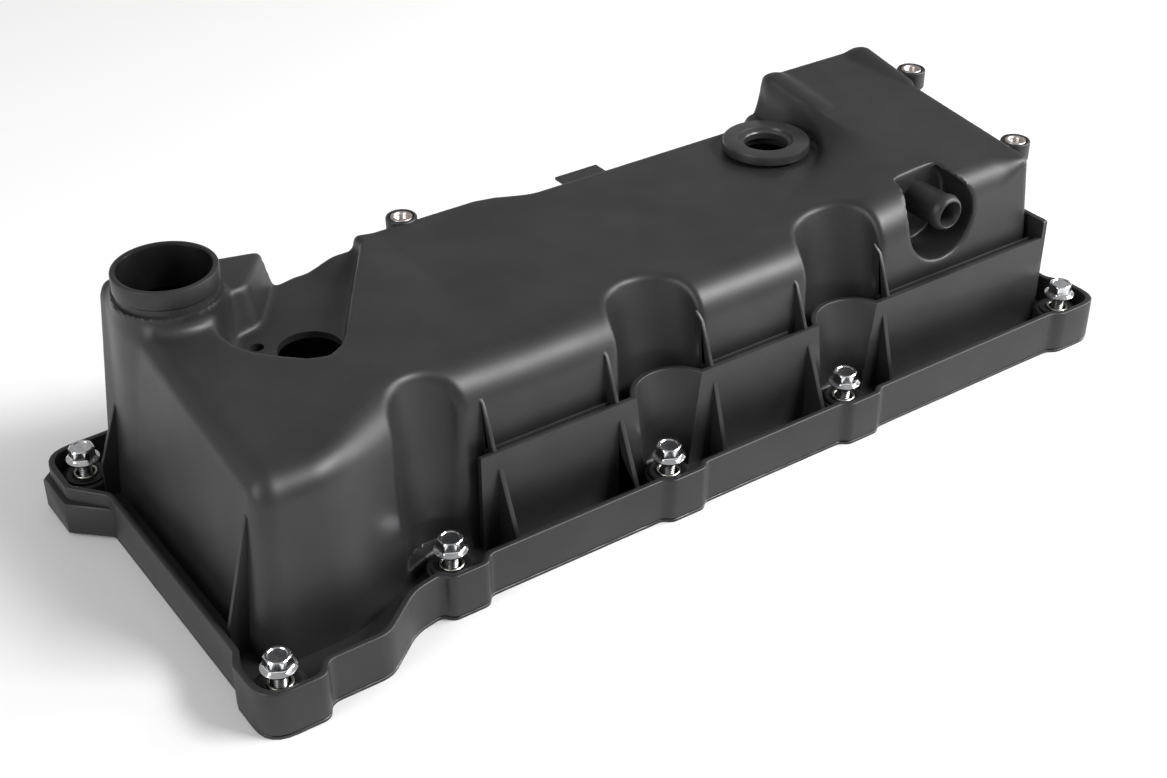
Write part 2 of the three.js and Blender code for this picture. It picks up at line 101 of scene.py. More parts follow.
ROOF, ROOF_SLOPE, ROOF_LEFT_SLOPE, ROOF_FRONT_Y = 86.5, 0.01, 0.144, -85.0
RISE_START, RISE_LENGTH = -80, 125  # the roof slopes up to the back, more and more towards the neck
BOX_BACK, BOX_SLOPE, BOX_BACK_Y = 106.3, 0.11, 47.0
RAMP_BACK, RAMP_FRONT = (137.5, 145), (55, 165)  # along X, the ramp up to the raised end
HORNS = [147, 204]  # along X, small peaks at the back edge of the raised end
HORN_BACK, HORN_FRONT = (41.5, 103, 6.2), (12, 98.5, 3.2)  # Y, Z and radius at each end of a horn
COLLAR_TOP = 104.5

NECK_X, NECK_Y, NECK_RIM, NECK_RADIUS, NECK_BORE = -187.0, 25.0, 116.0, 21.75, 19.0
VENT = in_drawing("vent_port_ring")
VENT_TOP, VENT_FOOT = top_of("vent_port_ring"), bottom_of("vent_port_ring")
VENT_HOLE, PIT_RADIUS = 12.5, 25.5

PIPE_X, PIPE_Z, PIPE_MOUTH, PIPE_RADIUS, PIPE_BORE = 153.0, 80.0, -77.0, 8.0, 6.0
POCKET_X, POCKET_Z, POCKET_BACK, POCKET_RADIUS = 150.5, 78.0, -54.0, 20.0

SADDLE_FLOOR, SADDLE_FLARE, SADDLE_LEDGE = 77.5, 0.2, 4.5
HUMP_FRONT, HUMP_SIDE = (-165.4, 16.6), (-153.5, 17)  # a point at the foot of each sloping face of the block
SADDLE = [
    (-174, 5), (-175, -3), (-173.5, -11), (-169.5, -17), (-162.8, -23), (-154, -29.5), (-147, -31.2),
    (-141, -28), (-136, -22.5), (-117.8, 5), (-92, 43.5), (-92, 70), (-176, 70),
]
SENSOR_HOLE, PIN_HOLE = (-142, -7, 13.5), (-159.6, 6.2, 3.0)

SHIELD_FRONT, SHIELD_THICK, SHIELD_TOP, SHIELD_LEFT, SHIELD_RIGHT = -85.5, 2.5, 54.0, -109.5, 212.0
CUP_FOOT, CUP_TOP, CUP_BESIDE = 14.0, 18.4, 4.5
LIP_FRONT = -80.6
END_PLATE_TOP, END_PLATE_BACK = 62.7, -40.0
LIPS = [(-104, -45), (6, 54), (108, 206)]  # along X, where each begins and ends
FINS = [-102, -41.5, 8.5, 61.5, 111]

# Each gusset of the shield: its X, and the Y that its foot reaches.
GUSSETS = [(-100.5, -98), (-40.5, -98), (9.5, -94), (63, -98), (108, -94)]

# Each socket well in the front wall: radius at the foot and at the top, how far its axis stands beside the
# bolt, and how far its top leans off in X and Y.
SCOOPS = {
    "front_2": (18.2, 16.8, 0.5, 2.6, 14),
    "front_3": (21.5, 21.5, 3.6, 4.5, 21.5),
    "front_4": (21.5, 21.5, 5.4, 5.5, 20.5),
}
LEAN_FOOT, LEAN_HEIGHT, TAPER_HEIGHT = 25, 61, 72
SHIELDED = ["front_3", "front_4"]

CORNER_WELL = (13, 18)  # radius of the well over bolt front_1 at the foot and WELL_HEIGHT above it
BACK_WELL = (13, 13)
WELL_HEIGHT = 100
BACK_WELLS = ["back_4", "back_3", "back_2"]

# Radii of the edges where something is cut from the body, and of the valley where something stands on it.
SCOOP_EDGE, CORNER_WELL_EDGE, BACK_WELL_EDGE, SADDLE_EDGE, PIT_EDGE, POCKET_EDGE = 2.6, 6, 3, 2.2, 1.8, 1.6
FOOT_FILLET = 5

# ---------------------------------------------------------------- camera, light and floor

VIEW_TARGET = to_metres([0, 0, 0])
VIEW_AZIMUTH, VIEW_ELEVATION, VIEW_DISTANCE = math.radians(-35), math.radians(33.4), 0.855
LENS = 55.53


def add_camera():
    data = bpy.data.cameras.new("camera")
    data.lens = LENS
    data.sensor_width = 36
    camera = bpy.data.objects.new("camera", data)
    flat = math.cos(VIEW_ELEVATION)
    back = Vector((
        math.sin(VIEW_AZIMUTH) * flat,
        -math.cos(VIEW_AZIMUTH) * flat,
        math.sin(VIEW_ELEVATION),
    ))
    camera.location = Vector(VIEW_TARGET) + back * VIEW_DISTANCE
    camera.rotation_euler = (-back).to_track_quat("-Z", "Y").to_euler()
    bpy.context.scene.collection.objects.link(camera)
    bpy.context.scene.camera = camera


def add_softbox(name, place, size, watts):
    data = bpy.data.lights.new(name, "AREA")
    data.shape = "RECTANGLE"
    data.size, data.size_y = size
    data.energy = watts
    light = bpy.data.objects.new(name, data)
    light.location = place
    light.rotation_euler = (-Vector(place)).to_track_quat("-Z", "Y").to_euler()
    bpy.context.scene.collection.objects.link(light)


def add_studio():
    mesh = bpy.data.meshes.new("floor")
    half = 4.0
    corners = [(-half, -half, 0), (half, -half, 0), (half, half, 0), (-half, half, 0)]
    mesh.from_pydata(corners, [], [(0, 1, 2, 3)])
    floor = bpy.data.objects.new("floor", mesh)
    bpy.context.scene.collection.objects.link(floor)
    paper = bpy.data.materials.new("floor")
    paper.use_nodes = True
    shader = paper.node_tree.nodes["Principled BSDF"]
    shader.inputs["Base Color"].default_value = (0.9, 0.9, 0.9, 1)
    shader.inputs["Roughness"].default_value = 0.9
    shader.inputs["Specular IOR Level"].default_value = 0.0
    mesh.materials.append(paper)

    add_softbox("key", (1.05, -1.2, 1.5), (0.9, 0.5), 42)
    add_softbox("side", (1.7, -0.55, 0.75), (0.5, 1.0), 20)
    add_softbox("fill", (-1.5, -0.1, 0.9), (1.0, 1.0), 12)

    world = bpy.data.worlds.new("studio")
    bpy.context.scene.world = world
    world.use_nodes = True
    background = world.node_tree.nodes["Background"]
    background.inputs["Color"].default_value = (1, 1, 1, 1)
    background.inputs["Strength"].default_value = 0.36
    bpy.context.scene.view_settings.view_transform = "Standard"


# ---------------------------------------------------------------- materials


class Nodes:
    """Adds nodes to one material and links them."""

    def __init__(self, name, color, roughness, metallic=0.0):
        self.material = bpy.data.materials.new(name)
        self.material.use_nodes = True
        self.tree = self.material.node_tree
        self.shader = self.tree.nodes["Principled BSDF"]
        self.shader.inputs["Base Color"].default_value = (*color, 1)
        self.shader.inputs["Roughness"].default_value = roughness
        self.shader.inputs["Metallic"].default_value = metallic
        self.place = self.add("ShaderNodeTexCoord").outputs["Object"]

    def add(self, kind, **values):
        node = self.tree.nodes.new(kind)
        for name, value in values.items():
            node.inputs[name.replace("_", " ")].default_value = value
        return node

    def link(self, output, node, name):
        self.tree.links.new(output, node.inputs[name])

    def noise(self, scale, detail=2.0, roughness=0.5):
        node = self.add("ShaderNodeTexNoise", Scale=scale, Detail=detail, Roughness=roughness)
        self.link(self.place, node, "Vector")
        return node.outputs["Fac"]

    def ranged(self, value, low, high, start=0.3, stop=0.7):
        node = self.add("ShaderNodeMapRange", From_Min=start, From_Max=stop, To_Min=low, To_Max=high)
        self.link(value, node, "Value")
        return node.outputs["Result"]

    def bump(self, height, strength, distance, normal=None):
        node = self.add("ShaderNodeBump", Strength=strength, Distance=distance)
        self.link(height, node, "Height")
        if normal:
            self.link(normal, node, "Normal")
        return node.outputs["Normal"]

    def tinted(self, value, dark, light):
        ramp = self.tree.nodes.new("ShaderNodeValToRGB")
        ramp.color_ramp.elements[0].position = 0.35
        ramp.color_ramp.elements[1].position = 0.65
        ramp.color_ramp.elements[0].color = (*dark, 1)
        ramp.color_ramp.elements[1].color = (*light, 1)
        self.link(value, ramp, "Fac")
        self.link(ramp.outputs["Color"], self.shader, "Base Color")


def moulded_nylon():
    # Spark texture of the mould, a slight waviness, patchy sheen and a faint mottle.
    nylon = Nodes("nylon", (0.018, 0.018, 0.019), 0.45)
    nylon.tinted(nylon.noise(38, 4), (0.015, 0.015, 0.016), (0.021, 0.021, 0.022))
    nylon.link(nylon.ranged(nylon.noise(22, 3), 0.38, 0.48), nylon.shader, "Roughness")
    waves = nylon.bump(nylon.noise(16, 1), 0.25, 0.0006)
    nylon.link(nylon.bump(nylon.noise(1900, 3, 0.6), 0.5, 0.00005, waves), nylon.shader, "Normal")
    return nylon.material


def glossy_nylon(name, level):
    gloss = Nodes(name, (level, level, level), 0.3)
    gloss.link(gloss.ranged(gloss.noise(60, 3), 0.24, 0.38), gloss.shader, "Roughness")
    gloss.link(gloss.bump(gloss.noise(700, 2), 0.25, 0.00003), gloss.shader, "Normal")
    dark, light = 0.85 * level, 1.2 * level
    gloss.tinted(gloss.noise(45), (dark, dark, dark), (light, light, light))
    return gloss.material


def oiled_rubber():
    rubber = Nodes("rubber", (0.012, 0.012, 0.012), 0.4)
    rubber.tinted(rubber.noise(90), (0.009, 0.009, 0.009), (0.02, 0.02, 0.02))
    rubber.link(rubber.ranged(rubber.noise(160, 3), 0.2, 0.55), rubber.shader, "Roughness")
    rubber.link(rubber.bump(rubber.noise(420, 2), 0.5, 0.0001), rubber.shader, "Normal")
    return rubber.material


def zinc_plate():
    zinc = Nodes("zinc", (0.8, 0.81, 0.83), 0.16, 1.0)
    zinc.tinted(zinc.noise(260, 3), (0.66, 0.67, 0.69), (0.88, 0.88, 0.89))
    zinc.link(zinc.ranged(zinc.noise(500, 3), 0.1, 0.26), zinc.shader, "Roughness")
    zinc.link(zinc.bump(zinc.noise(900, 2), 0.3, 0.00004), zinc.shader, "Normal")
    return zinc.material


def turned_steel(name, dark, light):
    steel = Nodes(name, light, 0.3, 1.0)
    steel.tinted(steel.noise(350, 3), dark, light)
    steel.link(steel.ranged(steel.noise(650, 2), 0.22, 0.42), steel.shader, "Roughness")
    steel.link(steel.bump(steel.noise(1500, 2), 0.35, 0.00004), steel.shader, "Normal")
    return steel.material


NYLON = moulded_nylon()
GLOSS = glossy_nylon("gloss_nylon", 0.03)
RUBBER = oiled_rubber()
# The bore's wall is near-black, darker than the nylon: painted shade inside the neck's bore.
BORE_PAINTED_SHADE = glossy_nylon("bore", 0.006)
ZINC = zinc_plate()
# Darker zinc for each bolt's shank under its flange: painted shade under the flange.
ZINC_PAINTED_SHADE = turned_steel("zinc_painted_shade", (0.1, 0.1, 0.1), (0.3, 0.3, 0.3))
SLEEVE_STEEL = turned_steel("sleeve_steel", (0.42, 0.41, 0.39), (0.62, 0.6, 0.56))
INSERT_STEEL = turned_steel("insert_steel", (0.5, 0.44, 0.42), (0.78, 0.72, 0.68))

# ---------------------------------------------------------------- mesh helpers


def new_mesh(name, points, faces, material=None, crease=38):
    """An object from points in millimetres, shaded smooth up to the crease angle."""
    mesh = bpy.data.meshes.new(name)
    mesh.from_pydata([tuple(p) for p in to_metres(points)], [], [tuple(int(i) for i in f) for f in faces])
    mesh.validate()
    if material:
        mesh.materials.append(material)
    mesh.shade_smooth()
    mesh.set_sharp_from_angle(angle=math.radians(crease))
    made = bpy.data.objects.new(name, mesh)
    bpy.context.scene.collection.objects.link(made)
    return made


def stacked(loops, caps=True):
    """Points and faces through equally long loops, anticlockwise as seen from the last loop's side."""
    count = len(loops[0])
    points = [p for loop in loops for p in loop]
    faces = []
    for i in range(len(loops) - 1):
        for k in range(count):
            a, b = i * count + k, i * count + (k + 1) % count
            faces.append((a, b, b + count, a + count))
    if caps:
        faces.append(tuple(range(count))[::-1])
        faces.append(tuple(range((len(loops) - 1) * count, len(loops) * count)))
    else:
        last = (len(loops) - 1) * count
        faces += [(last + k, last + (k + 1) % count, (k + 1) % count, k) for k in range(count)]
    return points, faces


def circle(x, y, z, radius, sides):
    turns = 2 * math.pi * np.arange(sides) / sides
    return [(x + radius * math.cos(t), y + radius * math.sin(t), z) for t in turns]


def lathe(name, x, y, profile, material=None, sides=64, open_bore=False):
    """A turned piece. The profile is (radius, z) from the foot up, and back down the bore if it has one."""
    loops = [circle(x, y, z, radius, sides) for radius, z in profile]
    return new_mesh(name, *stacked(loops, caps=not open_bore), material)


def shrunk(outline, distance):
    """The outline with each point moved towards the middle."""
    away = outline - outline.mean(axis=0)
    return outline - distance * away / np.linalg.norm(away, axis=1)[:, None]


def prism(name, outline, low, high, edge=0.0):
    """An upright prism, with its top edge bevelled by `edge` towards the outline's middle."""
    outline = np.asarray(outline, float)
    loops = [[(x, y, low) for x, y in outline], [(x, y, high - edge) for x, y in outline]]
    if edge:
        loops.append([(x, y, high) for x, y in shrunk(outline, edge)])
    return new_mesh(name, *stacked(loops))


def plate(name, outline, start, stop, axis, edge=0.35):
    """A flat plate with bevelled edges: the outline in the two other axes, from start to stop on the axis."""
    outline = np.asarray(outline, float)
    small = shrunk(outline, edge)
    levels = [(small, start), (outline, start + edge), (outline, stop - edge), (small, stop)]
    loops = [[np.insert(p, axis, at) for p in shape] for shape, at in levels]
    points, faces = stacked(loops)
    area = sum(
        outline[i - 1][0] * outline[i][1] - outline[i][0] * outline[i - 1][1] for i in range(len(outline))
    )
    if (area > 0) == (axis == 1):
        faces = [face[::-1] for face in faces]
    return new_mesh(name, points, faces)


def block(name, x, y, z, edge=0.35):
    return plate(name, [(x[0], y[0]), (x[1], y[0]), (x[1], y[1]), (x[0], y[1])], z[0], z[1], 2, edge)


def combine(target, others, operation="UNION"):
    """Applies one Boolean after another to the target and removes the other objects."""
    for other in others:
        modifier = target.modifiers.new("combine", "BOOLEAN")
        modifier.operation = operation
        modifier.solver = "MANIFOLD"
        modifier.object = other
    graph = bpy.context.evaluated_depsgraph_get()
    made = bpy.data.meshes.new_from_object(target.evaluated_get(graph))
    target.modifiers.clear()
    target.data = made
    for other in others:
        bpy.data.objects.remove(other)
    return target


def finished(piece, slot, body, *nodes, crease=38):
    """Shades a finished piece smooth, hangs it on the body it rides on and hides the CAD nodes it stands for.
    The slot, what it is made of, is not used.
    """
    piece.data.shade_smooth()
    piece.data.set_sharp_from_angle(angle=math.radians(crease))
    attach(piece, body)
    if nodes:
        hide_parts(*nodes)


def paint(piece, *materials):
    """Gives a piece these materials in place of its own."""
    piece.data.materials.clear()
    for material in materials:
        piece.data.materials.append(material)


# ---------------------------------------------------------------- outline of the rail


def bulge(x, edge, out, direction):
    """Corners of the rounded lobe round a bolt, from the rail's edge out and back, for RAIL_CORNERS."""
    offsets = [(-11.5, edge, 5), (-8.5, out, 9), (8.5, out, 9), (11.5, edge, 5)]
    return [(x + along * direction, y, radius) for along, y, radius in offsets]


RAIL_FRONT, RAIL_BACK, BACK_LOBE = -104, 66, 76

# X, Y and radius of each corner, anticlockwise seen from above.
RAIL_CORNERS = [
    (-230.8, -129.3, 13.4), (-203.8, -129.3, 12), (-200.5, -122.4, 6), (-174, -122.4, 14), (-154, -106.5, 22),
    *bulge(BOLT_AT["front_2"][0], RAIL_FRONT, -108.6, 1),
    *bulge(BOLT_AT["front_3"][0], RAIL_FRONT, -107.2, 1),
    *bulge(BOLT_AT["front_4"][0], RAIL_FRONT, -107, 1),
    (204, -103.5, 6), (209, -106.6, 9), (234.5, -106.6, 14), (234.5, -84, 9), (229.5, -76, 6),
    (229.5, 36, 6), (234.5, 44, 9), (234.5, 66, 14),
    *bulge(BOLT_AT["back_4"][0], RAIL_BACK, BACK_LOBE, -1),
    *bulge(BOLT_AT["back_3"][0], RAIL_BACK, BACK_LOBE, -1),
    *bulge(BOLT_AT["back_2"][0], RAIL_BACK, BACK_LOBE, -1),
    (-205, 66, 12), (-239.7, 64.3, 14), (-239.7, 35, 6), (-227.3, 20, 6), (-227.3, -97, 6), (-230.8, -104, 6),
]
EAR = [(-236, 62), (-242.5, 56), (-242.5, 32), (-227.3, 17.6), (-222, 17.6), (-222, 62)]


def unit(vector):
    return vector / np.linalg.norm(vector)


def neighbours(corners, i):
    here = np.array(corners[i][:2])
    return here, np.array(corners[i - 1][:2]), np.array(corners[(i + 1) % len(corners)][:2])


def inset(corners, distance):
    moved = []
    for i in range(len(corners)):
        corner, last, following = neighbours(corners, i)
        before, after = unit(corner - last), unit(following - corner)
        inward = unit(np.array([-before[1] - after[1], before[0] + after[0]]))
        corner = corner + inward * distance / inward.dot([-after[1], after[0]])
        turn = np.sign(before[0] * after[1] - before[1] * after[0])
        moved.append((*corner, max(corners[i][2] - turn * distance, 0.5)))
    return moved


def rounded(corners, steps=7):
    points = []
    for i in range(len(corners)):
        corner, last, following = neighbours(corners, i)
        before, after = last - corner, following - corner
        reach = 0.49 * min(np.linalg.norm(before), np.linalg.norm(after))
        before, after = unit(before), unit(after)
        half = math.acos(np.clip(before.dot(after), -1, 1)) / 2
        length = min(corners[i][2] / math.tan(half), reach)
        start, end = corner + before * length, corner + after * length
        for t in np.linspace(0, 1, steps):
            points.append((1 - t) ** 2 * start + 2 * t * (1 - t) * corner + t * t * end)
    return np.array(points)


def rail_outline(distance):
    return rounded(inset(RAIL_CORNERS, distance))


# ---------------------------------------------------------------- body as a field of distances


def clamp(value, low=0.0, high=1.0):
    return np.minimum(np.maximum(value, low), high)


def ease(value, start, stop):
    t = clamp((value - start) / (stop - start))
    return t * t * (3 - 2 * t)


def mix(a, b, share):
    return a + (b - a) * share


def meet(a, b, radius):
    """Both solids at once, with their edge rounded."""
    corner = np.hypot(np.maximum(a + radius, 0), np.maximum(b + radius, 0))
    return np.minimum(np.maximum(a, b), -radius) + corner


def fuse(a, b, radius):
    """Either solid, with the valley between them filled."""
    corner = np.hypot(np.maximum(radius - a, 0), np.maximum(radius - b, 0))
    return np.maximum(np.minimum(a, b), radius) - corner


def carve(a, b, radius):
    """The first solid less the second, with the rim rounded."""
    return meet(a, -b, radius)


def bulged(x):
    return 1 - ease(x, *BULGE_RANGE)


def set_in(x):
    return ease(x, *SET_IN_LEFT) * (1 - ease(x, *SET_IN_RIGHT))


def front_foot(x):
    """Y of the front wall's foot."""
    return mix(FRONT_FOOT, FRONT_BULGE, bulged(x))


def back_foot(x):
    """Y of the back wall's foot."""
    return BACK_FOOT - BACK_SET_IN * set_in(x)


def roof_height(x, y):
    rise = clamp((RISE_START - x) / RISE_LENGTH)
    level = ROOF + (ROOF_SLOPE + (ROOF_LEFT_SLOPE - ROOF_SLOPE) * rise) * (y - ROOF_FRONT_Y)
    raised = BOX_BACK - BOX_SLOPE * (BOX_BACK_Y - y)
    forward = ease(-y, -5, 60)
    start, stop = (mix(back, front, forward) for back, front in zip(RAMP_BACK, RAMP_FRONT))
    return mix(level, raised, ease(x, start, stop))


def walls_and_roof(x, y, z):
    height = z - RAIL_FLOOR
    left = LEFT_FOOT + LEFT_DRAFT * height - x
    right = x - RIGHT_FOOT + RIGHT_DRAFT * height
    front_y = front_foot(x)
    slope = front_foot(x + 1) - front_y
    front = (front_y + FRONT_DRAFT * height - y) / np.sqrt(1 + slope**2)
    slope = BACK_SET_IN * (set_in(x + 1) - set_in(x))
    back = (y - back_foot(x) + BACK_DRAFT * height) / np.sqrt(1 + slope**2)
    roof = roof_height(x, y)
    steep = np.sqrt(1 + (roof_height(x + 1, y) - roof) ** 2 + (roof_height(x, y + 1) - roof) ** 2)
    roof = (z - roof) / steep
    sides = meet(meet(meet(left, front, LEFT_CORNER), right, RIGHT_CORNER), back, BACK_CORNER)
    radius = mix(SHOULDER, BULGE_SHOULDER, bulged(x))
    radius = mix(radius, BULGE_SHOULDER, ease(x, *TO_RIGHT_SHOULDER))
    radius = mix(radius, BACK_EDGE, ease(y, *TO_BACK_EDGE))
    radius = mix(radius, NECK_EDGE, ease(x, *TO_NECK_EDGE))
    radius = mix(radius, END_EDGE, ease(x, *TO_END_EDGE))
    return meet(sides, roof, radius)


def capsule(x, y, z, start, end, start_radius, end_radius):
    """Distance to a round bar between two points, with a radius at each."""
    start, along = np.array(start, float), np.subtract(end, start)
    travelled = (x - start[0]) * along[0] + (y - start[1]) * along[1] + (z - start[2]) * along[2]
    share = clamp(travelled / along.dot(along))
    dx, dy, dz = (c - start[i] - share * along[i] for i, c in enumerate((x, y, z)))
    return np.sqrt(dx**2 + dy**2 + dz**2) - mix(start_radius, end_radius, share)


def polygon(x, y, corners):
    """Distance to a polygon in plan, negative inside."""
    nearest = np.full(np.broadcast(x, y).shape, 1e9, np.float32)
    inside = np.zeros(nearest.shape, bool)
    for (ax, ay), (bx, by) in zip(corners, corners[1:] + corners[:1]):
        dx, dy = bx - ax, by - ay
        share = clamp(((x - ax) * dx + (y - ay) * dy) / (dx * dx + dy * dy))
        nearest = np.minimum(nearest, np.hypot(x - ax - share * dx, y - ay - share * dy))
        crosses = ((ay > y) != (by > y)) & (x < ax + dx * (y - ay) / (dy if dy else 1e-9))
        inside ^= crosses
    return np.where(inside, -nearest, nearest)


def scoop(x, y, z, bolt):
    bx, by = BOLT_AT[bolt]
    foot, top, beside, lean_x, lean_y = SCOOPS[bolt]
    up = clamp((z - LEAN_FOOT) / LEAN_HEIGHT, 0, 1.4)
    radius = mix(foot, top, clamp((z - BOSS_SEAT) / TAPER_HEIGHT, 0, 1.2))
    around = np.hypot(x - bx - beside - lean_x * up, y - by - lean_y * up) - radius
    return np.maximum(around / 1.05, BOSS_SEAT - z)


def well(x, y, z, bolt, foot, top):
    bx, by = BOLT_AT[bolt]
    radius = mix(foot, top, clamp((z - RAIL_FLOOR) / WELL_HEIGHT))
    return np.hypot(x - bx, y - by) - radius


def saddle(x, y, z):
    """The hollow beside the neck, open at the back; a block with two sloping faces stands in its corner."""
    rise = z - SADDLE_FLOOR
    # Two planes that lean in towards the top; the last factor of each turns its slope into a distance.
    front_x, front_y = HUMP_FRONT
    side_x, side_y = HUMP_SIDE
    front_face = (front_y + 0.237 * (x - front_x) + 0.28 * rise - y) * 0.94
    side_face = ((x - side_x) * 0.806 - (y - side_y) * 0.591 + 0.22 * rise) * 0.97
    standing = meet(front_face, side_face, 2.5)
    ledge = SADDLE_LEDGE * ease(x, -116, -98) * ease(y, 28, 50)  # the floor rises in its back right corner
    hollow = meet(polygon(x, y, SADDLE) - SADDLE_FLARE * rise, (SADDLE_FLOOR + ledge - z) * 0.95, 2.0)
    return carve(hollow, standing, 2.0)


def outside(x, y, z):
    solid = walls_and_roof(x, y, z)
    for bolt in SCOOPS:
        solid = carve(solid, scoop(x, y, z, bolt), SCOOP_EDGE)
    solid = carve(solid, well(x, y, z, "front_1", *CORNER_WELL), CORNER_WELL_EDGE)
    for bolt in BACK_WELLS:
        solid = carve(solid, well(x, y, z, bolt, *BACK_WELL), BACK_WELL_EDGE)
    for peak in HORNS:
        back, front = (peak, *HORN_BACK[:2]), (peak + 3, *HORN_FRONT[:2])
        horn = capsule(x, y, z, back, front, HORN_BACK[2], HORN_FRONT[2])
        solid = fuse(solid, horn, FOOT_FILLET)
    solid = carve(solid, saddle(x, y, z), SADDLE_EDGE)
    pit = np.hypot(x - VENT[0], y - VENT[1]) - (PIT_RADIUS + 0.1 * clamp(z - VENT_FOOT, 0, 30))
    solid = carve(solid, np.maximum(pit, VENT_FOOT - 0.3 - z), PIT_EDGE)
    pocket = np.hypot(x - POCKET_X, z - POCKET_Z) - POCKET_RADIUS
    solid = carve(solid, meet(pocket, y - POCKET_BACK, 2), POCKET_EDGE)
    collar = np.maximum(np.hypot(x - NECK_X, y - NECK_Y) - NECK_RADIUS - 1, z - COLLAR_TOP)
    return fuse(solid, collar, FOOT_FILLET)


def shell(x, y, z):
    outer = outside(x, y, z)
    wall = np.maximum(outer, -(outer + WALL))
    return np.maximum(wall, RAIL_BOTTOM + 0.3 - z)


def surface_of(field, low, high, spacing):
    """Surface nets: one vertex in each cell that the surface crosses, then moved onto the surface."""
    axes = [np.arange(low[i], high[i] + spacing, spacing, dtype=np.float32) for i in range(3)]
    values = field(*np.meshgrid(*axes, indexing="ij", sparse=True)).astype(np.float32)
    inside = values < 0
    corners = sum(
        inside[i:i - 1 or None, j:j - 1 or None, k:k - 1 or None].astype(np.int8)
        for i in (0, 1) for j in (0, 1) for k in (0, 1)
    )
    cells = np.argwhere((corners > 0) & (corners < 8))
    index = np.full(corners.shape, -1, np.int64)
    index[tuple(cells.T)] = np.arange(len(cells))

    total = np.zeros((len(cells), 3))
    crossings = np.zeros(len(cells))
    for axis in range(3):
        for p in (0, 1):
            for q in (0, 1):
                start = np.zeros(3, int)
                start[(axis + 1) % 3], start[(axis + 2) % 3] = p, q
                end = start.copy()
                end[axis] = 1
                a, b = values[tuple((cells + start).T)], values[tuple((cells + end).T)]
                crossed = (a < 0) != (b < 0)
                point = np.tile(start.astype(float), (len(cells), 1))
                point[:, axis] = a / np.where(crossed, a - b, 1)
                total[crossed] += point[crossed]
                crossings += crossed
    points = (cells + total / crossings[:, None]) * spacing + np.array(low)

    faces = []
    for axis in range(3):
        b, c = (axis + 1) % 3, (axis + 2) % 3
        here, there = [slice(None)] * 3, [slice(None)] * 3
        here[axis], there[axis] = slice(0, -1), slice(1, None)
        for other in (b, c):
            here[other] = there[other] = slice(1, -1)
        crossed = inside[tuple(here)] != inside[tuple(there)]
        nodes = np.argwhere(crossed)
        nodes[:, b] += 1
        nodes[:, c] += 1
        quad = []
        for p, q in [(-1, -1), (0, -1), (0, 0), (-1, 0)]:
            cell = nodes.copy()
            cell[:, b] += p
            cell[:, c] += q
            quad.append(index[tuple(cell.T)])
        quad = np.stack(quad, axis=1)
        outward = inside[tuple(nodes.T)]
        faces.append(np.where(outward[:, None], quad, quad[:, ::-1]))

    reach, step = 0.35 * spacing, 0.15
    for _ in range(3):
        x, y, z = points.T
        value = field(x, y, z)
        slope = np.stack([
            field(x + step, y, z) - field(x - step, y, z),
            field(x, y + step, z) - field(x, y - step, z),
            field(x, y, z + step) - field(x, y, z - step),
        ], axis=1) / (2 * step)
        size = np.maximum((slope**2).sum(axis=1), 0.2)
        points = points - slope * np.clip(value / size, -reach, reach)[:, None]
    return points, np.concatenate(faces)


# ---------------------------------------------------------------- crisp pieces of the cover moulding


def body_shell():
    low, high = (-224, -108, 0), (216, 60, 113)
    points, faces = surface_of(shell, low, high, FINE)
    return new_mesh("cover_shell_skin", points, faces, NYLON)


def pipe_ring(radius, y):
    """A circle round the axis of the hose nipple, which runs along Y."""
    return [(PIPE_X + a, y, PIPE_Z + b) for a, b, _ in circle(0, 0, 0, radius, 64)]


def holes():
    """Cutters for the openings through the body's wall: neck, vent, sensor, locating pin and hose nipple."""
    upright = [
        (NECK_X, NECK_Y, NECK_BORE + 0.8), (VENT[0], VENT[1], VENT_HOLE), SENSOR_HOLE, PIN_HOLE,
    ]
    cutters = [lathe("hole", x, y, [(radius, 55), (radius, 120)], sides=96) for x, y, radius in upright]
    ends = [pipe_ring(PIPE_BORE + 0.5, y) for y in (POCKET_BACK + 8, POCKET_BACK - 1)]
    return [*cutters, new_mesh("pipe_hole", *stacked(ends))]


def rail_basin():
    """The rail as one closed basin: outer wall, rim, inner wall and floor."""
    profile = [
        (0.5, RAIL_BOTTOM), (0, RAIL_BOTTOM + 0.5), (0, RAIL_TOP - 0.7), (0.25, RAIL_TOP - 0.2),
        (0.7, RAIL_TOP), (RIM - 0.7, RAIL_TOP), (RIM - 0.2, RAIL_TOP - 0.2), (RIM, RAIL_TOP - 0.7),
        (RIM, RAIL_FLOOR + 1.5), (RIM + 0.45, RAIL_FLOOR + 0.45), (RIM + 1.5, RAIL_FLOOR),
    ]
    loops = [[(x, y, z) for x, y in rail_outline(distance)] for distance, z in profile]
    return new_mesh("rail", *stacked(loops))


def foot_opening():
    """Plan of the open underside, half a wall inside the body."""
    stations = np.linspace(LEFT_FOOT + WALL / 2, RIGHT_FOOT - WALL / 2, 90)
    front = [(x, front_foot(x) + WALL / 2) for x in stations]
    back = [(x, back_foot(x) - WALL / 2) for x in stations[::-1]]
    return front + back


def rail():
    hollow = prism("hollow", rail_outline(RIM), RAIL_FLOOR, RAIL_TOP + 5)
    ear = combine(prism("ear", EAR[::-1], RAIL_BOTTOM, 16, 1.0), [hollow], "DIFFERENCE")
    basin = combine(rail_basin(), [prism("opening", foot_opening(), -1, RAIL_FLOOR + 1)], "DIFFERENCE")
    bosses = [
        lathe("boss", x, y, [
            (BOSS_RADIUS, RAIL_BOTTOM + 0.1), (BOSS_RADIUS, BOSS_SEAT - 0.8),
            (BOSS_RADIUS - 0.25, BOSS_SEAT - 0.25), (BOSS_RADIUS - 0.8, BOSS_SEAT),
        ])
        for x, y in BOLT_AT.values()
    ]
    return combine(basin, [ear, *bosses])


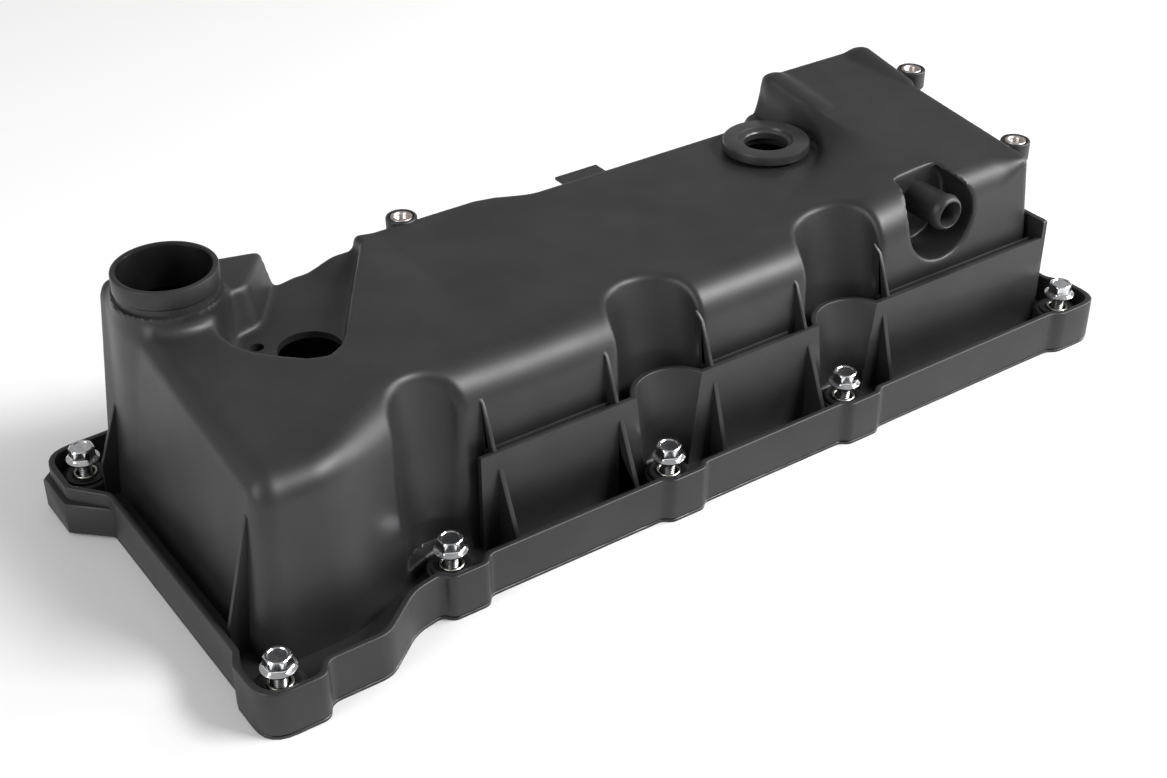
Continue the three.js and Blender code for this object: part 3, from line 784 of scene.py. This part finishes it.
def bolt_bores():
    profile = [(BOSS_BORE, -1), (BOSS_BORE, 16.5)]
    return [lathe("bore", x, y, profile, sides=48) for x, y in BOLT_AT.values()]


def cup_radius(z):
    return mix(CUP_FOOT, CUP_TOP, clamp((z - BOSS_SEAT) / (SHIELD_TOP - BOSS_SEAT), -0.2, 1))


def shield_path(z, offset, left, right, cups):
    """Plan of the shield's face at a height, moved back by `offset`: straight, but round the back of cups."""
    front = SHIELD_FRONT + offset
    path = [(left, front)]
    for bolt in cups:
        bx, by = BOLT_AT[bolt]
        radius = cup_radius(z) + offset
        turn = math.asin(clamp((front - by) / radius, -1, 0.98))
        for angle in np.linspace(math.pi - turn, turn, 19):
            path.append((bx + CUP_BESIDE + radius * math.cos(angle), by + radius * math.sin(angle)))
    path.append((right, front))
    return path


def standing_strip(name, face, low, high, thick, edge=0.5):
    """A thin upright wall. face(z, offset) gives its plan at a height, moved back by an offset."""
    section = [
        (0, low), (0, (low + high) / 2), (0, high - edge), (0.3 * edge, high - 0.3 * edge), (edge, high),
        (thick - edge, high), (thick - 0.3 * edge, high - 0.3 * edge), (thick, high - edge),
        (thick, (low + high) / 2), (thick, low),
    ]
    lines = [[(x, y, z) for x, y in face(z, offset)] for offset, z in section]
    loops = [list(station) for station in zip(*lines)]
    return new_mesh(name, *stacked(loops))


def shield():
    wall = standing_strip(
        "shield",
        lambda z, offset: shield_path(z, offset, SHIELD_LEFT, SHIELD_RIGHT, SHIELDED),
        RAIL_FLOOR - 0.5, SHIELD_TOP, SHIELD_THICK,
    )
    end = block(
        "end", (SHIELD_RIGHT - SHIELD_THICK, SHIELD_RIGHT), (SHIELD_FRONT, END_PLATE_BACK),
        (RAIL_FLOOR - 0.4, END_PLATE_TOP), 0.5,
    )
    return [wall, end]


def outer_gussets():
    gussets = []
    for x, foot in GUSSETS:
        outline = [
            (SHIELD_FRONT + 1.2, RAIL_FLOOR - 1), (SHIELD_FRONT + 1.2, 46), (SHIELD_FRONT - 0.1, 46),
            (foot, 18), (foot - 1, RAIL_FLOOR - 1),
        ]
        gussets.append(plate("gusset", outline, x - 1, x + 1, 0))
    return gussets


def upper_fins():
    """Thin fins from the body's wall down to the top of the shield, at the edges of the wells."""
    outline = [(-72, 76), (-76.2, 73), (-84.4, SHIELD_TOP - 0.3), (-84.4, 40), (-72, 40)]
    return [plate("fin", outline, x - 0.8, x + 0.8, 0, 0.3) for x in FINS]


def left_fins():
    high = [(-206, 74), (-210.6, 70), (-223, 22), (-223, RAIL_FLOOR - 0.5), (-206, RAIL_FLOOR - 0.5)]
    low = [(-206, 60), (-212, 52), (-222, 24), (-222, RAIL_FLOOR - 0.5), (-206, RAIL_FLOOR - 0.5)]
    return [plate("left_fin", high, -86, -84, 1, 0.3), plate("left_fin", low, 38, 40, 1, 0.3)]


def trough_lips():
    """Low ridges in the trough between the body and the shield."""
    strips = []
    for left, right in LIPS:
        strips.append(standing_strip(
            "lip",
            lambda z, offset, a=left, b=right: [(a, LIP_FRONT + offset), (b, LIP_FRONT + offset)],
            30, SHIELD_TOP - 0.6, 1.2, 0.3,
        ))
    return strips


def neck():
    rim, outer, bore = NECK_RIM, NECK_RADIUS, NECK_BORE
    profile = [
        (outer + 0.4, 96), (outer + 0.4, 103.6), (outer, 104.4), (outer - 0.7, 104.6),
        (outer - 0.7, 107.4), (outer - 0.1, 108), (outer, 108.4), (outer, rim - 0.9),
        (outer - 0.3, rim - 0.25), (outer - 0.9, rim), (bore + 1.1, rim), (bore + 0.3, rim - 0.4),
        (bore, rim - 1.2), (bore, 96),
    ]
    return lathe("neck", NECK_X, NECK_Y, profile, sides=96, open_bore=True)


def hose_nipple():
    """The nipple points to the front: a turned profile laid along Y."""
    outer, bore, mouth, root = PIPE_RADIUS, PIPE_BORE, PIPE_MOUTH, POCKET_BACK + 2
    profile = [
        (outer, root), (outer, mouth + 6.5), (outer + 0.7, mouth + 5), (outer + 0.8, mouth + 3.4),
        (outer, mouth + 1.2), (outer - 0.9, mouth + 0.2), (bore + 0.5, mouth), (bore, mouth + 0.6),
        (bore, root),
    ]
    loops = [pipe_ring(radius, y) for radius, y in profile]
    return new_mesh("nipple", *stacked(loops, caps=False))


def insert_posts():
    """Hollow posts for the threaded inserts, each with a web to the back wall or to the right wall."""
    back_wall, right_wall = 40, 205
    posts = []
    for name in INSERTS:
        x, y, _ = in_drawing(name)
        top = top_of(name)
        posts.append(lathe("post", x, y, [
            (5.2, RAIL_FLOOR - 0.5), (5.6, top - 11), (7.2, top - 9), (7.2, top - 0.7), (6.9, top - 0.2),
            (6.5, top), (5.75, top), (5.75, top - 12.5), (2.5, top - 13), (2.5, RAIL_FLOOR - 0.5),
        ], open_bore=True))
        levels = (RAIL_FLOOR - 0.4, top - 9)
        if y > back_wall:
            posts.append(block("web", (x - 1.2, x + 1.2), (back_wall, y - 3.5), levels))
        else:
            posts.append(block("web", (right_wall, x - 3.5), (y - 1.2, y + 1.2), levels))
    return posts


def paint_cover(skin):
    """Nylon all over, with the glossy wall of the neck's bore in its own darker material: painted shade
    inside the bore.
    """
    paint(skin, NYLON, BORE_PAINTED_SHADE)
    foot = to_metres([NECK_X, NECK_Y, 90])
    reach = (NECK_BORE + 1.2) / 1000
    for face in skin.data.polygons:
        x, y, z = face.center
        face.material_index = int(z > foot[2] and math.hypot(x - foot[0], y - foot[1]) < reach)


def cover():
    skin = combine(body_shell(), holes(), "DIFFERENCE")
    combine(skin, [rail()])
    crisp = [*shield(), *outer_gussets(), *upper_fins(), *left_fins(), *trough_lips(), *insert_posts()]
    combine(skin, [neck(), hose_nipple(), *crisp])
    combine(skin, bolt_bores(), "DIFFERENCE")
    paint_cover(skin)
    finished(skin, "nylon", "cover", "cover_shell", crease=42)


# ---------------------------------------------------------------- small pieces


def gasket():
    profile = [(0.2, 0.2), (0.2, 1.3), (0.4, 1.5), (5.0, 1.5), (5.2, 1.3), (5.2, 0.2), (5.0, 0), (0.4, 0)]
    loops = [[(x, y, z) for x, y in rail_outline(distance)] for distance, z in profile]
    seal = new_mesh("gasket_seal", *stacked(loops, caps=False), RUBBER)
    finished(seal, "rubber", "cover", "rail_gasket")


def vent_ring():
    low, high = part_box("vent_port_ring")
    radius = (high[0] - low[0]) * 500
    profile = [
        (10.5, VENT_FOOT), (radius - 0.6, VENT_FOOT), (radius, VENT_FOOT + 0.6), (radius, VENT_TOP - 0.9),
        (radius - 0.3, VENT_TOP - 0.25), (radius - 0.9, VENT_TOP), (13.4, VENT_TOP), (13.0, VENT_TOP - 0.3),
        (12.6, VENT_TOP - 1.3), (11.0, VENT_TOP - 1.6), (10.5, VENT_TOP - 2.2),
    ]
    ring = lathe("vent_ring", VENT[0], VENT[1], profile, GLOSS, sides=96, open_bore=True)
    finished(ring, "gloss_nylon", "cover", "vent_port_ring", crease=25)


def insert(name):
    """A threaded insert: a collar with a chamfered bore whose wall carries the thread."""
    x, y, _ = in_drawing(name)
    top, foot = top_of(name), bottom_of(name)
    profile = [
        (3.0, foot), (5.2, foot), (5.2, top - 0.4), (5.0, top - 0.1), (4.8, top),
        (3.7, top), (3.1, top - 0.6),
    ]
    z = top - 1
    while z > foot + 1:
        profile += [(2.95, z), (3.3, z - 0.5)]
        z -= 1
    ring = lathe(name + "_collar", x, y, profile, INSERT_STEEL, sides=48, open_bore=True)
    finished(ring, "insert_steel", "cover", name)


def sleeve(bolt):
    x, y = BOLT_AT[bolt]
    node = "sleeve_" + bolt
    foot, top = bottom_of(node), top_of(node)
    profile = [
        (4.3, foot), (4.9, foot), (5.2, foot + 0.3), (5.2, top - 0.3), (4.9, top), (4.3, top),
        (4.0, top - 0.3), (4.0, foot + 0.3),
    ]
    tube = lathe("liner_" + bolt, x, y, profile, SLEEVE_STEEL, sides=40, open_bore=True)
    finished(tube, "sleeve_steel", "cover", node)


def grommet(bolt):
    x, y = BOLT_AT[bolt]
    node = "grommet_" + bolt
    foot, top = bottom_of(node), top_of(node)
    profile = [
        (5.5, foot + 0.4), (5.9, foot), (7.2, foot), (7.7, foot + 0.6), (7.7, top - 1.2), (8.8, top - 1.15),
        (9.0, top - 0.9), (8.9, top - 0.4), (8.4, top - 0.1), (7.6, top), (6.2, top - 0.25), (5.5, top - 0.6),
    ]
    seal = lathe("seal_" + bolt, x, y, profile, RUBBER, sides=48, open_bore=True)
    finished(seal, "rubber", "cover", node)


def screw(bolt):
    """A flange bolt: threaded shank, conical flange and a chamfered hexagon with a dished top."""
    x, y = BOLT_AT[bolt]
    node = "bolt_" + bolt
    foot, top = bottom_of(node), top_of(node)
    seat = top - 6.5
    sides = 48
    turns = 2 * math.pi * np.arange(sides) / sides
    loops = []

    def ring(radius, z):
        around = zip(np.broadcast_to(radius, sides), turns)
        loops.append([(x + r * math.cos(t), y + r * math.sin(t), z) for r, t in around])

    ring(2.0, foot)
    for z in np.arange(foot + 0.5, seat - 1.2, 0.2):
        plain = 5.4 < z - foot < 8.4  # the undercut that holds the catch ring
        phase = (z - turns / (2 * math.pi)) % 1.0  # a thread of 1 mm pitch
        crest = 3.0 - 0.55 * np.abs(2 * phase - 1)
        taper = clamp((z - foot) / 1.6, 0.75, 1)
        ring(2.45 if plain else crest * taper, z)
    flange = [(3.0, -0.6), (3.3, 0), (6.8, 0), (7.1, 0.25), (7.1, 0.8), (6.6, 1.15)]
    for radius, above in flange:
        ring(radius, seat + above)
    flat = 5.0
    wrapped = (turns + math.pi / 6) % (math.pi / 3) - math.pi / 6
    hexagon = np.minimum(flat / np.cos(wrapped), flat * 1.125)
    ring(hexagon + 0.55, seat + 1.5)
    ring(hexagon + 0.12, seat + 2.0)
    ring(hexagon, seat + 2.6)
    ring(np.minimum(hexagon, 5.55), top - 0.75)
    ring(np.minimum(hexagon, 5.2), top - 0.35)
    for radius, z in [(4.7, top), (3.9, top), (3.5, top - 0.35), (1.2, top - 0.45)]:
        ring(radius, z)
    made = new_mesh("screw_" + bolt, *stacked(loops), ZINC, crease=30)
    # The shank below the flange takes the darker zinc: painted shade under the flange.
    made.data.materials.append(ZINC_PAINTED_SHADE)
    threaded = to_metres([x, y, seat - 0.3])[2]
    for face in made.data.polygons:
        face.material_index = int(face.center.z < threaded)
    finished(made, "zinc", "screw_" + bolt, node, crease=30)


def harness_clip():
    low, high = (np.array(corner) * 1000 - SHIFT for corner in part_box("harness_clip"))
    thick, gap = 1.6, 6
    depth = (low[1], high[1])
    foot = block("clip", (high[0] - 12, high[0]), (low[1], low[1] + 2.4), (low[2], high[2]), 0.3)
    upper = block("upper", (low[0], high[0]), depth, (high[2] - thick, high[2]), 0.3)
    levels = (high[2] - gap - 2 * thick, high[2] - gap - thick)
    lower = block("lower", (low[0], high[0] - 8), depth, levels, 0.3)
    clip = combine(foot, [upper, lower])
    clip.name = "clip_fingers"
    paint(clip, NYLON)
    finished(clip, "nylon", "cover", "harness_clip")


# ---------------------------------------------------------------- the whole

add_camera()
add_studio()
cover()
gasket()
vent_ring()
harness_clip()
for insert_name in INSERTS:
    insert(insert_name)
for bolt_name in BOLT_NAMES:
    sleeve(bolt_name)
    grommet(bolt_name)
    screw(bolt_name)

# The CAD's own pieces that stay: the hidden baffle and the catch rings.
paint(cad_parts["oil_baffle"], NYLON)
for bolt_name in BOLT_NAMES:
    paint(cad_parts["ring_" + bolt_name], RUBBER)
